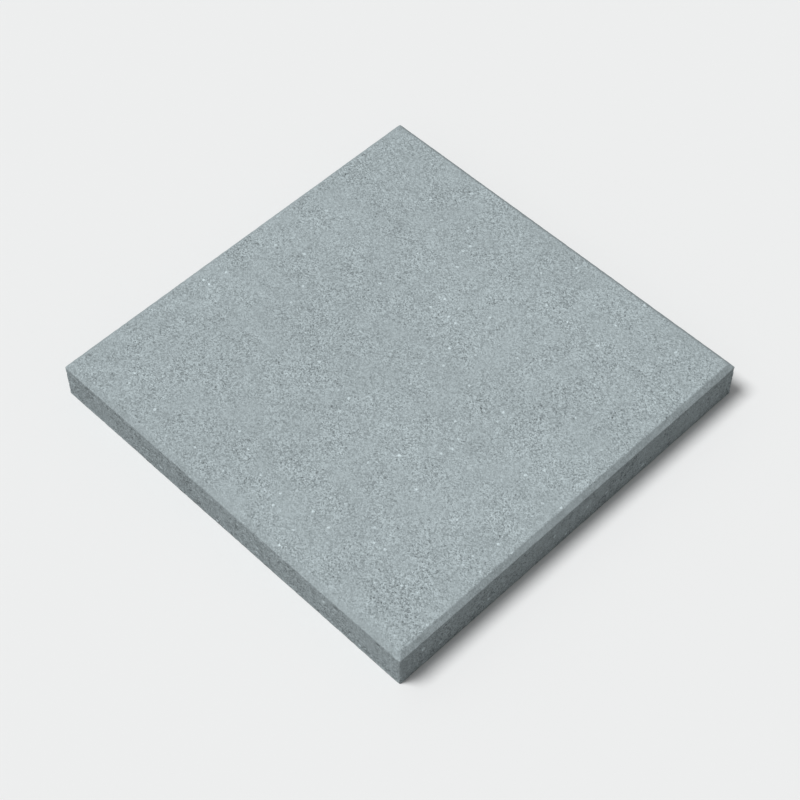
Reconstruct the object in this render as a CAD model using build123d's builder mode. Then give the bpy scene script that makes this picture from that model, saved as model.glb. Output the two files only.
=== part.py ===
from build123d import *
import os

# Square concrete paving slab, pressed in a mould as one piece, lying on its bed face.
# The origin is the middle of the bed face. X and Y run along the sides, and +Z points up,
# out of the wearing face.

# Outline
side_length = 500.0       # each side of the square, between opposite joint faces
thickness = 50.0          # from the bed face to the wearing face

# Bevel round the wearing face, pressed by the shoe of the tamper
bevel_width = 6.0         # how far it reaches in over the wearing face
bevel_depth = 6.0         # how far it runs down the joint face

# Corners of the mould box, which round the four upright edges and the mitres above them
corner_radius = 2.0

with BuildPart() as paving_slab:
    # The body fills the mould box, which has upright walls so that the slab can be pushed out
    with BuildSketch(Plane.XY) as mould_outline:
        Rectangle(side_length, side_length)
    extrude(amount=thickness)

    # The bevel takes the sharp edge off all four sides of the wearing face
    wearing_face = paving_slab.faces().sort_by(Axis.Z)[-1]
    chamfer(wearing_face.edges(), length=bevel_width, length2=bevel_depth, reference=wearing_face)

    # Only the upright corner edges and the mitres of the bevel lie along neither side
    side_edges = paving_slab.edges().filter_by(Axis.X) + paving_slab.edges().filter_by(Axis.Y)
    corner_edges = paving_slab.edges() - side_edges
    fillet(corner_edges, radius=corner_radius)

paving_slab.part.label = "paving_slab"

os.makedirs("parts", exist_ok=True)
export_step(paving_slab.part, "parts/paving_slab.step")
print("volume in litres:", round(paving_slab.part.volume / 1e6, 3))
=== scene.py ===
# %% [markdown]
# This lesson dresses one concrete paving slab. The real thing is damp concrete that a tamper presses
# into a square steel mould, so it is a single block: a fine, tight wearing face on top, a bevel round
# it, four upright joint faces that slid out of the mould, and a rough bed face underneath.
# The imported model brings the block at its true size. It stays as it is, and everything here is
# measured from it, so nothing has to be fitted by eye.

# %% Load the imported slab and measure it
import math

import bpy
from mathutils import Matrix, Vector


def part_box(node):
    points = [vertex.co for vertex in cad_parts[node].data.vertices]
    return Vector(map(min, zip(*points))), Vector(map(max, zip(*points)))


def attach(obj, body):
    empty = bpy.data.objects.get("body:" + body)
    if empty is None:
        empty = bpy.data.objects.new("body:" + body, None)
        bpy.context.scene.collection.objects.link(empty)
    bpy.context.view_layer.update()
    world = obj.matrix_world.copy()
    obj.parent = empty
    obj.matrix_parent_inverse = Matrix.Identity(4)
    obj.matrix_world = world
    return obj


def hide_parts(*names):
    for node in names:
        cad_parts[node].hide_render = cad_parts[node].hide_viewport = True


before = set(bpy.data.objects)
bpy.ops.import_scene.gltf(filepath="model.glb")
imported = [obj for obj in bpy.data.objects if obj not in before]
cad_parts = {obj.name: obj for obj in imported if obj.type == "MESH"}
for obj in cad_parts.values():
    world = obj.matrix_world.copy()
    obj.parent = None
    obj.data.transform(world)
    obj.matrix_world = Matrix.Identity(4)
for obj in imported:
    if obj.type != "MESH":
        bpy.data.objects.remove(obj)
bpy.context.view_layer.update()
low, high = (Vector(corner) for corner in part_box("paving_slab"))
SIDE = high.x - low.x
THICKNESS = high.z - low.z
MM = 0.001
print(f"slab {SIDE / MM:.1f} mm square and {THICKNESS / MM:.1f} mm thick")

# %% [markdown]
# Two small tools serve every step. Colours are written as the hex values that a picture editor shows,
# but Blender's shaders count in linear light, so one function converts them. The second adds a node,
# sets what it is told to set and links what it is told to link, in shaders and geometry alike.

# %% Helpers for colours and nodes
VECTOR_MATH, MATH, MAP_RANGE = "ShaderNodeVectorMath", "ShaderNodeMath", "ShaderNodeMapRange"
NOISE, VORONOI = "ShaderNodeTexNoise", "ShaderNodeTexVoronoi"
SPLIT_XYZ, JOIN_XYZ = "ShaderNodeSeparateXYZ", "ShaderNodeCombineXYZ"


def linear(hex_colour):
    """A colour as written in a picture editor, turned to the linear light that shaders use."""
    channels = [int(hex_colour[i:i + 2], 16) / 255 for i in (1, 3, 5)]
    return [c / 12.92 if c <= 0.04045 else ((c + 0.055) / 1.055) ** 2.4 for c in channels] + [1.0]


def add_node(tree, kind, inputs=None, **settings):
    """Adds a node. An input is a value, a socket to link, or a node whose first output is meant."""
    node = tree.nodes.new(kind)
    for name, value in settings.items():
        setattr(node, name, value)
    for key, value in (inputs or {}).items():
        if isinstance(value, bpy.types.Node):
            value = value.outputs[0]
        if isinstance(value, bpy.types.NodeSocket):
            tree.links.new(value, node.inputs[key])
        else:
            node.inputs[key].default_value = value
    return node


print("linear grey of #808080:", round(linear("#808080")[0], 4))

# %% [markdown]
# The camera looks at the slab as the photograph does, from about the height of a standing eye: straight
# over the near corner, and down at 53 degrees. Its distance sets how fast the far edges shorten, and at
# 2.2 m the slab's near and far halves have the same shares of its height as in the photograph. A long
# lens then brings it up to fill the frame. Moving closer would fill it too, but a lens changes the
# scale alone and leaves the shape as it is.

# %% Camera
AZIMUTH = math.radians(45)       # from looking along +Y, turned towards -X
ELEVATION = math.radians(53.5)   # the slab lies a little above the aim, which leaves 53 on it
DISTANCE = 2.2
LENS_MM = 92.0
SENSOR_MM = 36.0                 # the sensor's width, which the lens's length goes with
AIM_HEIGHT = -14 * MM            # puts the block in the middle of the frame

camera_data = bpy.data.cameras.new("camera")
camera_data.lens = LENS_MM
camera_data.sensor_width = SENSOR_MM
camera = bpy.data.objects.new("camera", camera_data)
bpy.context.collection.objects.link(camera)
back = Vector((math.sin(AZIMUTH) * math.cos(ELEVATION), -math.cos(AZIMUTH) * math.cos(ELEVATION),
               math.sin(ELEVATION)))
camera.location = Vector((0, 0, AIM_HEIGHT)) + DISTANCE * back
camera.rotation_euler = back.to_track_quat("Z", "Y").to_euler()
bpy.context.scene.camera = camera
bpy.context.scene.view_settings.view_transform = "Standard"
print(f"camera {camera.location.z:.2f} m up")

# %% [markdown]
# The light is plain and soft, and comes from the picture's left, so the bevels on that side are as
# bright as the wearing face and the two on the right fall into shade. An area lamp would be the usual
# softbox, but it lights the near half more than the far one, so a sun with a wide disc takes its place.
# The world fills in the rest. The two together add up to one on a level face, so a colour shows about
# as it is written.
# Pale surroundings are for the camera alone: what lights the slab from them is set on its own, so that
# a white floor does not wash out the shaded bevels.

# %% Light
SUN_TOWARDS = Vector((-0.21, -0.29, 0.74))   # points at the light, and is as long as it is strong
SUN_DISC = math.radians(24)                  # the wider the disc, the softer the shadow's edge
SKY_SHARE = 0.26                             # what a level face gets from all round
PALE_GREY = linear("#EDEEEE")                # the surroundings as the camera sees them


def camera_sees(tree):
    """1 for rays that show the surroundings to the camera, directly or in gloss or glass."""
    ray = add_node(tree, "ShaderNodeLightPath").outputs
    mirrored = add_node(tree, MATH, {0: ray["Is Camera Ray"], 1: ray["Is Glossy Ray"]},
                        operation="MAXIMUM")
    return add_node(tree, MATH, {0: mirrored, 1: ray["Is Transmission Ray"]}, operation="MAXIMUM")


sun_data = bpy.data.lights.new("softbox", "SUN")
sun_data.energy = math.pi * SUN_TOWARDS.length
sun_data.angle = SUN_DISC
sun = bpy.data.objects.new("softbox", sun_data)
sun.rotation_euler = SUN_TOWARDS.to_track_quat("Z", "Y").to_euler()
bpy.context.collection.objects.link(sun)

world = bpy.data.worlds.new("studio")
world.use_nodes = True
bpy.context.scene.world = world
sky = world.node_tree
sky.nodes.clear()
fill = add_node(sky, "ShaderNodeBackground", {"Color": linear("#FFFFFF"), "Strength": SKY_SHARE})
backdrop = add_node(sky, "ShaderNodeBackground", {"Color": PALE_GREY, "Strength": 1.0})
either = add_node(sky, "ShaderNodeMixShader", {"Fac": camera_sees(sky), 1: fill, 2: backdrop})
add_node(sky, "ShaderNodeOutputWorld", {"Surface": either})
print(f"level face gets {SUN_TOWARDS.z + SKY_SHARE:.2f}")

# %% [markdown]
# The slab lies on a plain pale studio floor. It is matt, so that it keeps the slab's soft shadow and
# shows nothing else. To the camera it is as pale as the backdrop, and the light that it throws back
# onto the slab is that of a mid-grey floor.

# %% Floor
FLOOR_HALF = 15.0                # metres, so that its edge stays out of sight
FLOOR_GREY = linear("#AAAAAA")   # what the slab gets back from it

floor_mesh = bpy.data.meshes.new("floor")
floor_mesh.from_pydata([(-FLOOR_HALF, -FLOOR_HALF, 0), (FLOOR_HALF, -FLOOR_HALF, 0),
                        (FLOOR_HALF, FLOOR_HALF, 0), (-FLOOR_HALF, FLOOR_HALF, 0)], [], [(0, 1, 2, 3)])
floor = bpy.data.objects.new("floor", floor_mesh)
bpy.context.collection.objects.link(floor)
floor_paint = bpy.data.materials.new("matt_studio_floor")
floor_paint.use_nodes = True
paint = floor_paint.node_tree
painted = paint.nodes["Principled BSDF"].inputs
shown = add_node(paint, "ShaderNodeMix", {"Factor": camera_sees(paint), "A": FLOOR_GREY, "B": PALE_GREY},
                 data_type="RGBA")
paint.links.new(shown.outputs["Result"], painted["Base Color"])
painted["Roughness"].default_value = 0.9
painted["Specular IOR Level"].default_value = 0.1
floor_mesh.materials.append(floor_paint)
print("floor", FLOOR_HALF * 2, "m across")

# %% [markdown]
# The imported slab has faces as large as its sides, and the marks of the mould need small ones.
# Subdividing those long triangles would leave slivers, and a voxel remesh would blur the arrises. The
# shape follows a rule, so Geometry Nodes can do better: a plain box of small cells is laid round the
# slab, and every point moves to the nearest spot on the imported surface. That gives the bevel, its
# mitres and the rounded corners without measuring any of them again.
# An arris shows how crisp the concrete is, so the cells are 1 mm in a rim as wide as the bevel, and
# about 2 mm elsewhere. A whole number of them spans the bevel, which keeps its arrises straight.
# The bed face carries less detail, so its inner points are merged onto a coarser grid.

# %% A tree that lays a box of cells round the slab
CELL = 2.12 * MM               # as fine as the faces can have while the piece stays a light mesh
FINE_CELL = 1.0 * MM
RIM = 6.0 * MM                 # how far from each arris the fine cells reach
COARSE_CELL = 6.0 * MM
FLOAT = "NodeSocketFloat"


def new_tree(name, inputs):
    """Makes a geometry tree with named inputs, and returns it with the socket of each."""
    tree = bpy.data.node_groups.new(name, "GeometryNodeTree")
    tree.interface.new_socket("Geometry", in_out="INPUT", socket_type="NodeSocketGeometry")
    tree.interface.new_socket("Geometry", in_out="OUTPUT", socket_type="NodeSocketGeometry")
    for label, kind in inputs.items():
        tree.interface.new_socket(label, in_out="INPUT", socket_type=kind)
    source = tree.nodes.new("NodeGroupInput")
    return tree, {socket.name: socket for socket in source.outputs if socket.name}


wrap, given = new_tree("cells_round_the_slab", {
    "Side": FLOAT, "Thickness": FLOAT, "Cell": FLOAT, "Fine Cell": FLOAT, "Rim": FLOAT,
    "Coarse Cell": FLOAT})
size = add_node(wrap, JOIN_XYZ, {"X": given["Side"], "Y": given["Side"], "Z": given["Thickness"]})
half = add_node(wrap, VECTOR_MATH, {0: size, "Scale": 0.5}, operation="SCALE")
middle = add_node(wrap, VECTOR_MATH, {0: half, 1: given["Rim"]}, operation="SUBTRACT")
fitting = add_node(wrap, VECTOR_MATH, {0: middle, 1: given["Cell"]}, operation="DIVIDE")
cell_count = add_node(wrap, VECTOR_MATH, {0: fitting}, operation="CEIL")
even_cell = add_node(wrap, VECTOR_MATH, {0: middle, 1: cell_count}, operation="DIVIDE")
rim_fitting = add_node(wrap, MATH, {0: given["Rim"], 1: given["Fine Cell"]}, operation="DIVIDE")
rim_count = add_node(wrap, MATH, {0: rim_fitting}, operation="ROUND")
half_count = add_node(wrap, VECTOR_MATH, {0: cell_count, 1: rim_count}, operation="ADD")
count = add_node(wrap, VECTOR_MATH, {0: half_count, "Scale": 2.0}, operation="SCALE")
point_count = add_node(wrap, VECTOR_MATH, {0: count, 1: (1, 1, 1)}, operation="ADD")
points = add_node(wrap, SPLIT_XYZ, {0: point_count}).outputs
cells = add_node(wrap, "GeometryNodeMeshCube", {
    "Size": count, "Vertices X": points["X"], "Vertices Y": points["Y"], "Vertices Z": points["Z"]})
print(f"about {2 * (SIDE / 2 - RIM) / CELL + 2 * RIM / FINE_CELL:.0f} cells along each side")

# %% Space the cells: the box is one unit a cell, so a point's place counts cells from the middle
counted = add_node(wrap, "GeometryNodeInputPosition")
outwards = add_node(wrap, VECTOR_MATH, {0: counted}, operation="ABSOLUTE")
even_part = add_node(wrap, VECTOR_MATH, {0: outwards, 1: cell_count}, operation="MINIMUM")
rim_part = add_node(wrap, VECTOR_MATH, {0: outwards, 1: even_part}, operation="SUBTRACT")
rim_reach = add_node(wrap, VECTOR_MATH, {0: rim_part, "Scale": given["Fine Cell"]}, operation="SCALE")
reach = add_node(wrap, VECTOR_MATH, {0: even_part, 1: even_cell, 2: rim_reach},
                 operation="MULTIPLY_ADD")
way = add_node(wrap, VECTOR_MATH, {0: counted}, operation="SIGN")
half_up = add_node(wrap, MATH, {0: given["Thickness"], 1: 0.5}, operation="MULTIPLY")
lift = add_node(wrap, JOIN_XYZ, {"Z": half_up})
place = add_node(wrap, VECTOR_MATH, {0: reach, 1: way, 2: lift}, operation="MULTIPLY_ADD")
lying = add_node(wrap, "GeometryNodeSetPosition", {"Geometry": cells, "Position": place})
print("fine cells", round(FINE_CELL / MM, 2), "mm")

# %% Merge the cells of the bed face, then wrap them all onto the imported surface
STRAIGHT_DOWN = -0.99          # only inside the bed face does a point's normal have a lower Z

spot = add_node(wrap, "GeometryNodeInputPosition")
facing = add_node(wrap, SPLIT_XYZ, {0: add_node(wrap, "GeometryNodeInputNormal")})
bed_inside = add_node(wrap, MATH, {0: facing.outputs["Z"], 1: STRAIGHT_DOWN}, operation="LESS_THAN")
half_coarse = add_node(wrap, MATH, {0: given["Coarse Cell"], 1: 0.5}, operation="MULTIPLY")
shifted = add_node(wrap, VECTOR_MATH, {0: spot, 1: half_coarse}, operation="ADD")
snapped = add_node(wrap, VECTOR_MATH, {0: shifted, 1: given["Coarse Cell"]}, operation="SNAP")
inner_half = add_node(wrap, VECTOR_MATH, {0: half, 1: half_coarse}, operation="SUBTRACT")
farthest = add_node(wrap, VECTOR_MATH, {0: inner_half, 1: given["Coarse Cell"]}, operation="SNAP")
nearest = add_node(wrap, VECTOR_MATH, {0: farthest, "Scale": -1.0}, operation="SCALE")
not_past = add_node(wrap, VECTOR_MATH, {0: snapped, 1: farthest}, operation="MINIMUM")
coarse_spot = add_node(wrap, VECTOR_MATH, {0: not_past, 1: nearest}, operation="MAXIMUM")
stacked = add_node(wrap, "GeometryNodeSetPosition", {
    "Geometry": lying, "Selection": bed_inside, "Position": coarse_spot})
merged = add_node(wrap, "GeometryNodeMergeByDistance", {"Geometry": stacked, "Distance": FINE_CELL / 10})
packed_surface = add_node(wrap, "GeometryNodeProximity", {"Geometry": given["Geometry"]},
                          target_element="FACES")
wrapped = add_node(wrap, "GeometryNodeSetPosition", {
    "Geometry": merged, "Position": packed_surface.outputs["Position"]})

# Where a bevel's mitre ends, two points land on the same spot and become one
clean = add_node(wrap, "GeometryNodeMergeByDistance", {"Geometry": wrapped, "Distance": FINE_CELL / 4})
add_node(wrap, "NodeGroupOutput", {"Geometry": clean})
print("the tree has", len(wrap.nodes), "nodes")

# %% [markdown]
# Pressing leaves its marks, and the same marks belong to both the shape and the finish: an open spot
# between two grains is a dent in the mesh and a darker spot in the colour, and that darker spot is
# painted shade, the shade that would lie in the dent. A stored attribute could carry the marks from the
# mesh to the shader, but only as finely as the mesh has points. So each mark is written once, as a
# recipe that builds its few nodes in whatever tree it is given. Every recipe takes a position in
# millimetres and returns how deep the mark is there, from 0, flush, to 1.
# Geometry Nodes dent the mesh with them down to the size of a cell, and the shader uses them for colour
# and for the relief that is finer than a cell.

# %% Sizes of the marks
BEVEL_FOOT_MM = (THICKNESS - RIM) / MM       # the height at which the bevel meets the joint faces
FADE_MM = 3.0                                # the height over which one face's marks turn to the next's
BED_MM = 0.4                                 # below this there are only the bed's marks

# Grain is noise with features of this size. It starts to open at the low edge and is open at the high
DENTS = {"size_mm": 9.0, "low_edge": 0.45, "high_edge": 0.75}
SAND = {"size_mm": 4.6, "low_edge": 0.40, "high_edge": 0.70}
PINHOLES = {"size_mm": 2.6, "low_edge": 0.60, "high_edge": 0.72}
JOINT_GRAIN = {"size_mm": 8.0, "low_edge": 0.40, "high_edge": 0.70}
GAPS = {"size_mm": 4.2, "low_edge": 0.50, "high_edge": 0.64}
LOOSE_STRETCHES = {"size_mm": 24.0, "low_edge": 0.38, "high_edge": 0.62}
BED_GRAIN = {"size_mm": 22.0, "low_edge": 0.35, "high_edge": 0.75}

# Air leaves round voids, and these are their radii
WEARING_VOIDS = {"apart_mm": 26.0, "smallest_mm": 0.6, "largest_mm": 2.6}
JOINT_VOIDS = {"apart_mm": 17.0, "smallest_mm": 0.8, "largest_mm": 3.4}

STREAK_MM = 5.0                              # how wide a drag line is
DRAWN_OUT = (1.0, 1.0, 0.07)                 # makes it 14 times as tall as it is wide
SETTLING_MM = 130.0                          # how far apart the high and the low parts of a face lie
CRUMBLE_MM = 5.0                             # how long a broken stretch of an arris is
print(f"the joint faces are {BEVEL_FOOT_MM:.0f} mm high")

# %% Recipes for the marks of the mould


def zones(tree, mm):
    """The wearing face with its bevel, the joint faces and the bed face, each from 0 to 1."""
    height = add_node(tree, SPLIT_XYZ, {0: mm}).outputs["Z"]
    worn = add_node(tree, MAP_RANGE, {
        "Value": height, "From Min": BEVEL_FOOT_MM - FADE_MM, "From Max": BEVEL_FOOT_MM})
    bed = add_node(tree, MAP_RANGE, {"Value": height, "From Min": FADE_MM, "From Max": BED_MM})
    both = add_node(tree, MATH, {0: worn, 1: bed}, operation="ADD")
    joint = add_node(tree, MATH, {0: 1.0, 1: both}, operation="SUBTRACT", use_clamp=True)
    return worn, joint, bed


def open_grain(tree, mm, size_mm, low_edge, high_edge):
    """Spots where the paste did not close between the sand grains."""
    noise = add_node(tree, NOISE, {"Vector": mm, "Scale": 1 / size_mm, "Detail": 2.0, "Roughness": 0.6})
    return add_node(tree, MAP_RANGE, {"Value": noise, "From Min": low_edge, "From Max": high_edge},
                    interpolation_type="SMOOTHSTEP")


def loose_gaps(tree, mm):
    """Gaps between coarser grains, only in the stretches where the mix fell loosely."""
    gap = open_grain(tree, mm, **GAPS)
    loose = open_grain(tree, mm, **LOOSE_STRETCHES)
    return add_node(tree, MATH, {0: gap, 1: loose}, operation="MULTIPLY")


def air_voids(tree, mm, apart_mm, smallest_mm, largest_mm):
    """Round pockets where air was trapped, one in each Voronoi cell. A small one is shallow too."""
    cell = add_node(tree, VORONOI, {"Vector": mm, "Scale": 1 / apart_mm})
    chance = add_node(tree, SPLIT_XYZ, {0: cell.outputs["Color"]})
    size = add_node(tree, MAP_RANGE, {"Value": chance, "To Min": smallest_mm / largest_mm})
    radius = add_node(tree, MATH, {0: size, 1: largest_mm / apart_mm}, operation="MULTIPLY")
    inside = add_node(tree, MATH, {0: cell, 1: radius}, operation="DIVIDE")
    pocket = add_node(tree, MAP_RANGE, {"Value": inside, "From Min": 1.0, "From Max": 0.35},
                      interpolation_type="SMOOTHSTEP")
    return add_node(tree, MATH, {0: pocket, 1: size}, operation="MULTIPLY")


def drag_lines(tree, mm):
    """Upright streaks that the mould wall drew as the fresh slab was pushed out."""
    stretched = add_node(tree, VECTOR_MATH, {0: mm, 1: DRAWN_OUT}, operation="MULTIPLY")
    noise = add_node(tree, NOISE, {
        "Vector": stretched, "Scale": 1 / STREAK_MM, "Detail": 3.0, "Roughness": 0.65})
    return add_node(tree, MAP_RANGE, {"Value": noise, "From Min": 0.38, "From Max": 0.68})


print("recipes: zones, open_grain, loose_gaps, air_voids, drag_lines")

# %% [markdown]
# A second tree presses these marks into the wrapped block. Displace modifiers could do it one by one,
# but they take their patterns from textures that the shader can't share. The tree only ever moves
# points inwards along their normals, because the highest grains lie against the steel mould: the block
# never grows past its true size.

# %% A tree that presses the marks into the block
marks, depth = new_tree("marks_of_the_mould", {
    "Wearing Grain": FLOAT, "Wearing Sand": FLOAT, "Wearing Voids": FLOAT, "Joint Grain": FLOAT,
    "Joint Gaps": FLOAT, "Joint Voids": FLOAT, "Drag Lines": FLOAT, "Bed Roughness": FLOAT,
    "Settling": FLOAT, "Arris Wear": FLOAT, "Concrete": "NodeSocketMaterial"})
place = add_node(marks, "GeometryNodeInputPosition")
place_mm = add_node(marks, VECTOR_MATH, {0: place, "Scale": 1 / MM}, operation="SCALE")
normal = add_node(marks, "GeometryNodeInputNormal")
upright = add_node(marks, SPLIT_XYZ, {0: normal}).outputs["Z"]
facing_down = add_node(marks, MAP_RANGE, {"Value": upright, "From Min": -0.95, "From Max": -1.0})
downward = add_node(marks, "GeometryNodeBlurAttribute", {"Value": facing_down, "Iterations": 3},
                    data_type="FLOAT")
everywhere = 1.0
wearing, joint, _ = zones(marks, place_mm)
settle = add_node(marks, NOISE, {"Vector": place_mm, "Scale": 1 / SETTLING_MM, "Detail": 2.0})

layers = [
    ("Wearing Grain", wearing, open_grain(marks, place_mm, **DENTS)),
    ("Wearing Sand", wearing, open_grain(marks, place_mm, **SAND)),
    ("Wearing Voids", wearing, air_voids(marks, place_mm, **WEARING_VOIDS)),
    ("Joint Grain", joint, open_grain(marks, place_mm, **JOINT_GRAIN)),
    ("Joint Gaps", joint, loose_gaps(marks, place_mm)),
    ("Joint Voids", joint, air_voids(marks, place_mm, **JOINT_VOIDS)),
    ("Drag Lines", joint, drag_lines(marks, place_mm)),
    ("Bed Roughness", downward, open_grain(marks, place_mm, **BED_GRAIN)),
    ("Settling", everywhere, settle),
]
total = 0.0
for label, zone, mark in layers:
    share = add_node(marks, MATH, {0: depth[label], 1: zone}, operation="MULTIPLY")
    total = add_node(marks, MATH, {0: mark, 1: share, 2: total}, operation="MULTIPLY_ADD")
print(len(layers), "kinds of mark")

# %% [markdown]
# An arris is where the faces turn, so the angle between them finds it. The tool that pressed it was
# sharp, but single grains break out of fresh concrete, so each stretch loses a little more or less.
# A blur carries what is lost one cell to each side, which keeps the small faces there from folding.

# %% Wear the arrises, move the points and finish the tree
turn = add_node(marks, "GeometryNodeInputMeshEdgeAngle")
folded = add_node(marks, MAP_RANGE, {"Value": turn, "From Min": math.radians(15),
                                     "From Max": math.radians(45)})
crumble = add_node(marks, NOISE, {
    "Vector": place_mm, "Scale": 1 / CRUMBLE_MM, "Detail": 2.0, "Roughness": 0.6})
lost = add_node(marks, MAP_RANGE, {"Value": crumble, "From Min": 0.35, "From Max": 0.75},
                interpolation_type="SMOOTHSTEP")
broken = add_node(marks, MATH, {0: folded, 1: lost}, operation="MULTIPLY")
nick = add_node(marks, "GeometryNodeBlurAttribute", {"Value": broken, "Iterations": 1},
                data_type="FLOAT")
total = add_node(marks, MATH, {0: nick, 1: depth["Arris Wear"], 2: total}, operation="MULTIPLY_ADD")
inwards = add_node(marks, MATH, {0: total, 1: -1.0}, operation="MULTIPLY")
step = add_node(marks, VECTOR_MATH, {0: normal, "Scale": inwards}, operation="SCALE")
pressed = add_node(marks, "GeometryNodeSetPosition", {"Geometry": depth["Geometry"], "Offset": step})
smooth = add_node(marks, "GeometryNodeSetShadeSmooth", {"Geometry": pressed})
real = add_node(marks, "GeometryNodeRealizeInstances", {"Geometry": smooth})
covered = add_node(marks, "GeometryNodeSetMaterial", {"Geometry": real, "Material": depth["Concrete"]})
add_node(marks, "NodeGroupOutput", {"Geometry": covered})
print("the tree has", len(marks.nodes), "nodes")

# %% [markdown]
# The finish is pressed concrete: cement paste and fine sand, tamped until the face is tight, and never
# polished. It is matt all over, because light is lost among the grains. To the eye it is a cool even
# grey made of countless grains a little lighter or darker than the paste, with small open spots, a
# few dark grits and a few pale ones. Patches a hand wide are tighter and calmer than the rest.
# Its colour is one hue throughout, so every grain only scales the brightness of the same grey.
# A photographed texture would be quick, but it repeats, runs into the arrises and carries its own
# light. Noise and Voronoi cells are solid: they run through the block, as real grains do.

# %% Pressed concrete
CEMENT_GREY = linear("#A2ADB0")
GRAIN_SWING = 0.32           # how far a grain's brightness may lie from the paste's, as a share of it
PASTE_SWING = 0.30
GRAIN_MM = 1.4               # spacing of the sand's coarser grains, which are the ones that show
PASTE_MM = 0.9               # the paste's mottling, drawn about twice as coarse so that it shows too

concrete = bpy.data.materials.new("pressed_concrete")
concrete.use_nodes = True
shade = concrete.node_tree
shade.nodes.clear()
where = add_node(shade, "ShaderNodeTexCoord")
mm = add_node(shade, "ShaderNodeMapping", {"Vector": where.outputs["Object"],
                                           "Scale": (1 / MM, 1 / MM, 1 / MM)})
wearing, joint, bed = zones(shade, mm)

# Each sand grain is one Voronoi cell with a brightness of its own
grains = add_node(shade, VORONOI, {"Vector": mm, "Scale": 1 / GRAIN_MM})
grain_luck = add_node(shade, SPLIT_XYZ, {0: grains.outputs["Color"]})
grain_tone = add_node(shade, MAP_RANGE, {
    "Value": grain_luck, "To Min": -GRAIN_SWING, "To Max": GRAIN_SWING})
paste = add_node(shade, NOISE, {"Vector": mm, "Scale": 1 / PASTE_MM, "Detail": 3.0, "Roughness": 0.6})
paste_tone = add_node(shade, MAP_RANGE, {
    "Value": paste, "From Min": 0.25, "From Max": 0.75, "To Min": -PASTE_SWING, "To Max": PASTE_SWING})
speckle = add_node(shade, MATH, {0: grain_tone, 1: paste_tone}, operation="ADD")
print("grains", GRAIN_MM, "mm apart")

# %% A recipe for grits


def grits(tree, mm, apart_mm, largest_mm, share):
    """
    Grits of many sizes: one ball in each Voronoi cell whose draw is within the share. The size is a
    radius, and most balls lie deeper than the surface, so they show as smaller spots.
    """
    cell = add_node(tree, VORONOI, {"Vector": mm, "Scale": 1 / apart_mm})
    chance = add_node(tree, SPLIT_XYZ, {0: cell.outputs["Color"]}).outputs
    drawn = add_node(tree, MATH, {0: chance["Y"], 1: share}, operation="LESS_THAN")
    radius = add_node(tree, MAP_RANGE, {
        "Value": chance["Z"], "To Min": 0.4 * largest_mm / apart_mm, "To Max": largest_mm / apart_mm})
    inside = add_node(tree, MATH, {0: cell, 1: radius}, operation="DIVIDE")
    disc = add_node(tree, MAP_RANGE, {"Value": inside, "From Min": 1.0, "From Max": 0.6})
    return add_node(tree, MATH, {0: disc, 1: drawn}, operation="MULTIPLY")


print("recipe: grits")

# %% Dark and pale grits
STIR_MM = 1.8                # how far apart the stirring changes its direction
STIR_REACH_MM = 2.5          # for a whole unit of noise; in practice it moves by half a millimetre
GROUP_MM = 70.0              # how wide a group of pale flecks is

# Crushed stone is not round, so the places are stirred before grits are drawn
stir = add_node(shade, NOISE, {"Vector": mm, "Scale": 1 / STIR_MM, "Detail": 1.0})
stir_way = add_node(shade, VECTOR_MATH, {0: stir.outputs["Color"], 1: (0.5, 0.5, 0.5)},
                    operation="SUBTRACT")
stirred = add_node(shade, VECTOR_MATH, {0: stir_way, 1: (STIR_REACH_MM,) * 3, 2: mm},
                   operation="MULTIPLY_ADD")
dark_grit = grits(shade, stirred, apart_mm=3.6, largest_mm=1.6, share=0.40)
pale_grit = grits(shade, stirred, apart_mm=5.5, largest_mm=1.9, share=0.40)
dark_stone = grits(shade, stirred, apart_mm=13.0, largest_mm=2.2, share=0.45)

# The palest grits lie in loose groups, as the sand was tipped
tipped = add_node(shade, NOISE, {"Vector": mm, "Scale": 1 / GROUP_MM, "Detail": 1.0})
group = add_node(shade, MAP_RANGE, {
    "Value": tipped, "From Min": 0.40, "From Max": 0.60, "To Min": 0.13, "To Max": 0.80})
pale_fleck = grits(shade, stirred, apart_mm=15.0, largest_mm=3.4, share=group)
pinholes = open_grain(shade, mm, **PINHOLES)
dents = open_grain(shade, mm, **DENTS)
print("grits and pinholes ready")

# %% Calm and busy patches, and slow changes of the grey
CALM_MM = 45.0               # how wide a calm patch is
SPREAD_MM = 110.0            # the widest change of the grey, half a slab from pale to dark
CLOUD_MM = 18.0              # the small clouds within it

calm = add_node(shade, NOISE, {"Vector": mm, "Scale": 1 / CALM_MM, "Detail": 3.0, "Roughness": 0.55})
busy = add_node(shade, MAP_RANGE, {
    "Value": calm, "From Min": 0.35, "From Max": 0.62, "To Min": 0.55, "To Max": 1.15})
spread = add_node(shade, NOISE, {"Vector": mm, "Scale": 1 / SPREAD_MM, "Detail": 2.0})
patch = add_node(shade, MAP_RANGE, {
    "Value": spread, "From Min": 0.3, "From Max": 0.7, "To Min": 0.965, "To Max": 1.035})
cloud = add_node(shade, NOISE, {"Vector": mm, "Scale": 1 / CLOUD_MM, "Detail": 2.0, "Roughness": 0.6})
clouded = add_node(shade, MAP_RANGE, {
    "Value": cloud, "From Min": 0.3, "From Max": 0.7, "To Min": -0.055, "To Max": 0.055})
ground = add_node(shade, MATH, {0: patch, 1: clouded}, operation="ADD")
print("patches and clouds ready")

# %% Smear paste over the bevel, and paint shade on it
CALMED = 0.4                 # how much of the speckle the paste takes away
# The next value is painted shade: how much darker the bevel is painted
BEVEL_SHADE = 0.045             # how much of the brightness
COVERED = 0.8                # how much of a grit it hides
ARRIS_MM = 0.5               # the smear fades over this on each side of the inner arris
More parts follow.
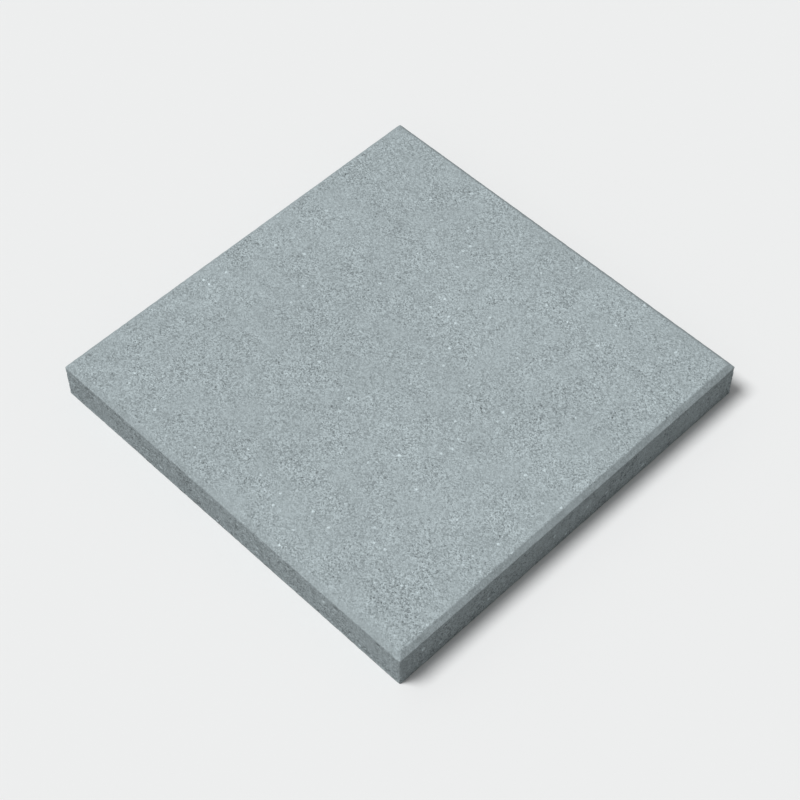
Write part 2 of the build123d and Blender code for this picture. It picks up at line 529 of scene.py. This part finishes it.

# The tamper's shoe slid over the bevel and smeared paste into its grain, so there the speckle is
# calmer and the grits all but covered. The grey there is also painted a shade darker, which is painted
# shade on all four bevels alike.
away = add_node(shade, VECTOR_MATH, {0: mm}, operation="ABSOLUTE")
away_xyz = add_node(shade, SPLIT_XYZ, {0: away}).outputs
farther = add_node(shade, MATH, {0: away_xyz["X"], 1: away_xyz["Y"]}, operation="MAXIMUM")
inner_mm = (SIDE / 2 - RIM) / MM
past_inner = add_node(shade, MAP_RANGE, {
    "Value": farther, "From Min": inner_mm - ARRIS_MM, "From Max": inner_mm + ARRIS_MM})
bevel = add_node(shade, MATH, {0: past_inner, 1: wearing}, operation="MULTIPLY")
calmer = add_node(shade, MATH, {0: bevel, 1: -CALMED, 2: 1.0}, operation="MULTIPLY_ADD")
lively = add_node(shade, MATH, {0: busy, 1: calmer}, operation="MULTIPLY")
# The bevel's grey is painted a shade darker: painted shade on all four bevels
ground_and_bevel_shade = add_node(shade, MATH, {0: bevel, 1: -BEVEL_SHADE, 2: ground}, operation="MULTIPLY_ADD")
bare = add_node(shade, MATH, {0: bevel, 1: -COVERED, 2: 1.0}, operation="MULTIPLY_ADD")
seen_fleck = add_node(shade, MATH, {0: pale_fleck, 1: bare}, operation="MULTIPLY")
seen_stone = add_node(shade, MATH, {0: dark_stone, 1: bare}, operation="MULTIPLY")
print(f"the bevel starts {inner_mm:.0f} mm from the middle")

# %% Add the tones up
DARKEST = 0.2                # even the bottom of a void keeps this share of the grey

fine = speckle
# Pinholes and dents are painted darker: that is painted shade in these small hollows. The dark and pale
# grits keep their own tones.
for mark, change in [(dark_grit, -0.24), (pale_grit, 0.25), (pinholes, -0.24), (dents, -0.05)]:
    fine = add_node(shade, MATH, {0: mark, 1: change, 2: fine}, operation="MULTIPLY_ADD")
tone = add_node(shade, MATH, {0: fine, 1: lively, 2: ground_and_bevel_shade}, operation="MULTIPLY_ADD")
for mark, change in [(seen_fleck, 0.56), (seen_stone, -0.22)]:
    tone = add_node(shade, MATH, {0: mark, 1: change, 2: tone}, operation="MULTIPLY_ADD")

# The joint faces and the bed face were not tamped, so they are more open, in patches as the mix fell.
# Their voids, drag lines and gaps, and the voids of the wearing face, are painted darker below: that is
# painted shade, the shade that would lie in these hollows.
joint_voids = air_voids(shade, mm, **JOINT_VOIDS)
wearing_voids = air_voids(shade, mm, **WEARING_VOIDS)
streaks = drag_lines(shade, mm)
gaps = loose_gaps(shade, mm)
shadow = tone
# Painted shade: each of these hollows makes the grey darker where shade would lie in it
for mark, zone, painted_shade in [(wearing_voids, wearing, -0.25), (joint_voids, joint, -0.40),
                         (streaks, joint, -0.12), (gaps, joint, -0.24), (gaps, bed, -0.34)]:
    here = add_node(shade, MATH, {0: zone, 1: painted_shade}, operation="MULTIPLY")
    shadow = add_node(shade, MATH, {0: mark, 1: here, 2: shadow}, operation="MULTIPLY_ADD")
not_black = add_node(shade, MATH, {0: shadow, 1: DARKEST}, operation="MAXIMUM")
colour = add_node(shade, VECTOR_MATH, {0: CEMENT_GREY[:3], "Scale": not_black}, operation="SCALE")
print("tones added up")

# %% [markdown]
# The relief that is finer than a cell goes into a bump: grains that stand a little proud, pinholes and
# the walls of the voids. Its heights are real ones: a tenth of a millimetre for a grain, and half of one
# for the gaps in the bed face.
# Dry concrete is about as rough as a surface gets, near 0.9, and its IOR is near the 1.5 of quartz.
# Its pores swallow about half of what a closed surface of that IOR would mirror, which is the specular
# level's work. The rough sheen still varies: it is a little closer where paste was smeared over the
# bevel and where the face is tight, and the broken faces of the hard grits gleam.

# %% Relief and gloss of the concrete
GRAIN_RISE = 0.12 * MM       # what a height of 1 stands for
ROUGHNESS = 0.86             # the busy patches add a little to it

domes = add_node(shade, MAP_RANGE, {
    "Value": grains, "From Min": 0.0, "From Max": 0.7, "To Min": 1.0, "To Max": 0.0})
height = domes
for mark, rise in [(pinholes, -1.0), (paste, 0.8), (dents, -0.4)]:
    height = add_node(shade, MATH, {0: mark, 1: rise, 2: height}, operation="MULTIPLY_ADD")
for mark, zone, drop in [(joint_voids, joint, -3.0), (wearing_voids, wearing, -2.0),
                         (streaks, joint, -1.0), (gaps, joint, -3.0), (gaps, bed, -5.0)]:
    here = add_node(shade, MATH, {0: zone, 1: drop}, operation="MULTIPLY")
    height = add_node(shade, MATH, {0: mark, 1: here, 2: height}, operation="MULTIPLY_ADD")
relief = add_node(shade, "ShaderNodeBump", {"Height": height, "Strength": 1.0, "Distance": GRAIN_RISE})
rough = ROUGHNESS
for mark, change in [(busy, 0.08), (bevel, -0.08), (seen_stone, -0.15), (seen_fleck, -0.35)]:
    rough = add_node(shade, MATH, {0: mark, 1: change, 2: rough}, operation="MULTIPLY_ADD")
surface = add_node(shade, "ShaderNodeBsdfPrincipled", {
    "Base Color": colour, "Roughness": rough, "IOR": 1.5, "Specular IOR Level": 0.25, "Normal": relief})
add_node(shade, "ShaderNodeOutputMaterial", {"Surface": surface})
print("the finish has", len(shade.nodes), "nodes")

# %% [markdown]
# Now the two trees run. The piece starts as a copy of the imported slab, which the first tree uses as its
# guide. The evaluated result is stored as a plain mesh, and the modifiers go, because what is kept
# has to be a mesh that stands on its own.

# %% Make the slab
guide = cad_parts["paving_slab"].data.copy()
grower = bpy.data.objects.new("slab_guide", guide)
bpy.context.collection.objects.link(grower)


def use_tree(piece, tree, values):
    """Puts a tree on a piece as a modifier, and sets its inputs by their identifiers."""
    modifier = piece.modifiers.new(tree.name, "NODES")
    modifier.node_group = tree
    for item in tree.interface.items_tree:
        if item.in_out == "INPUT" and item.name in values:
            modifier[item.identifier] = values[item.name]


use_tree(grower, wrap, {"Side": SIDE, "Thickness": THICKNESS, "Cell": CELL, "Fine Cell": FINE_CELL,
                        "Rim": RIM, "Coarse Cell": COARSE_CELL})
use_tree(grower, marks, {
    "Wearing Grain": 0.22 * MM, "Wearing Sand": 0.12 * MM, "Wearing Voids": 0.7 * MM,
    "Joint Grain": 0.35 * MM, "Joint Gaps": 0.6 * MM, "Joint Voids": 1.6 * MM,
    "Drag Lines": 0.25 * MM, "Bed Roughness": 1.2 * MM, "Settling": 0.25 * MM,
    "Arris Wear": 0.9 * MM, "Concrete": concrete})
evaluated = grower.evaluated_get(bpy.context.evaluated_depsgraph_get())
slab_mesh = bpy.data.meshes.new_from_object(evaluated)
slab_mesh.name = "pressed_slab"
slab = bpy.data.objects.new("pressed_slab", slab_mesh)
bpy.context.collection.objects.link(slab)
bpy.data.objects.remove(grower)
triangles = sum(len(face.vertices) - 2 for face in slab_mesh.polygons)
print(f"{triangles} triangles")

# %% Tie it to the frame
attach(slab, "root")
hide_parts("paving_slab")
print("slab tied to the frame")
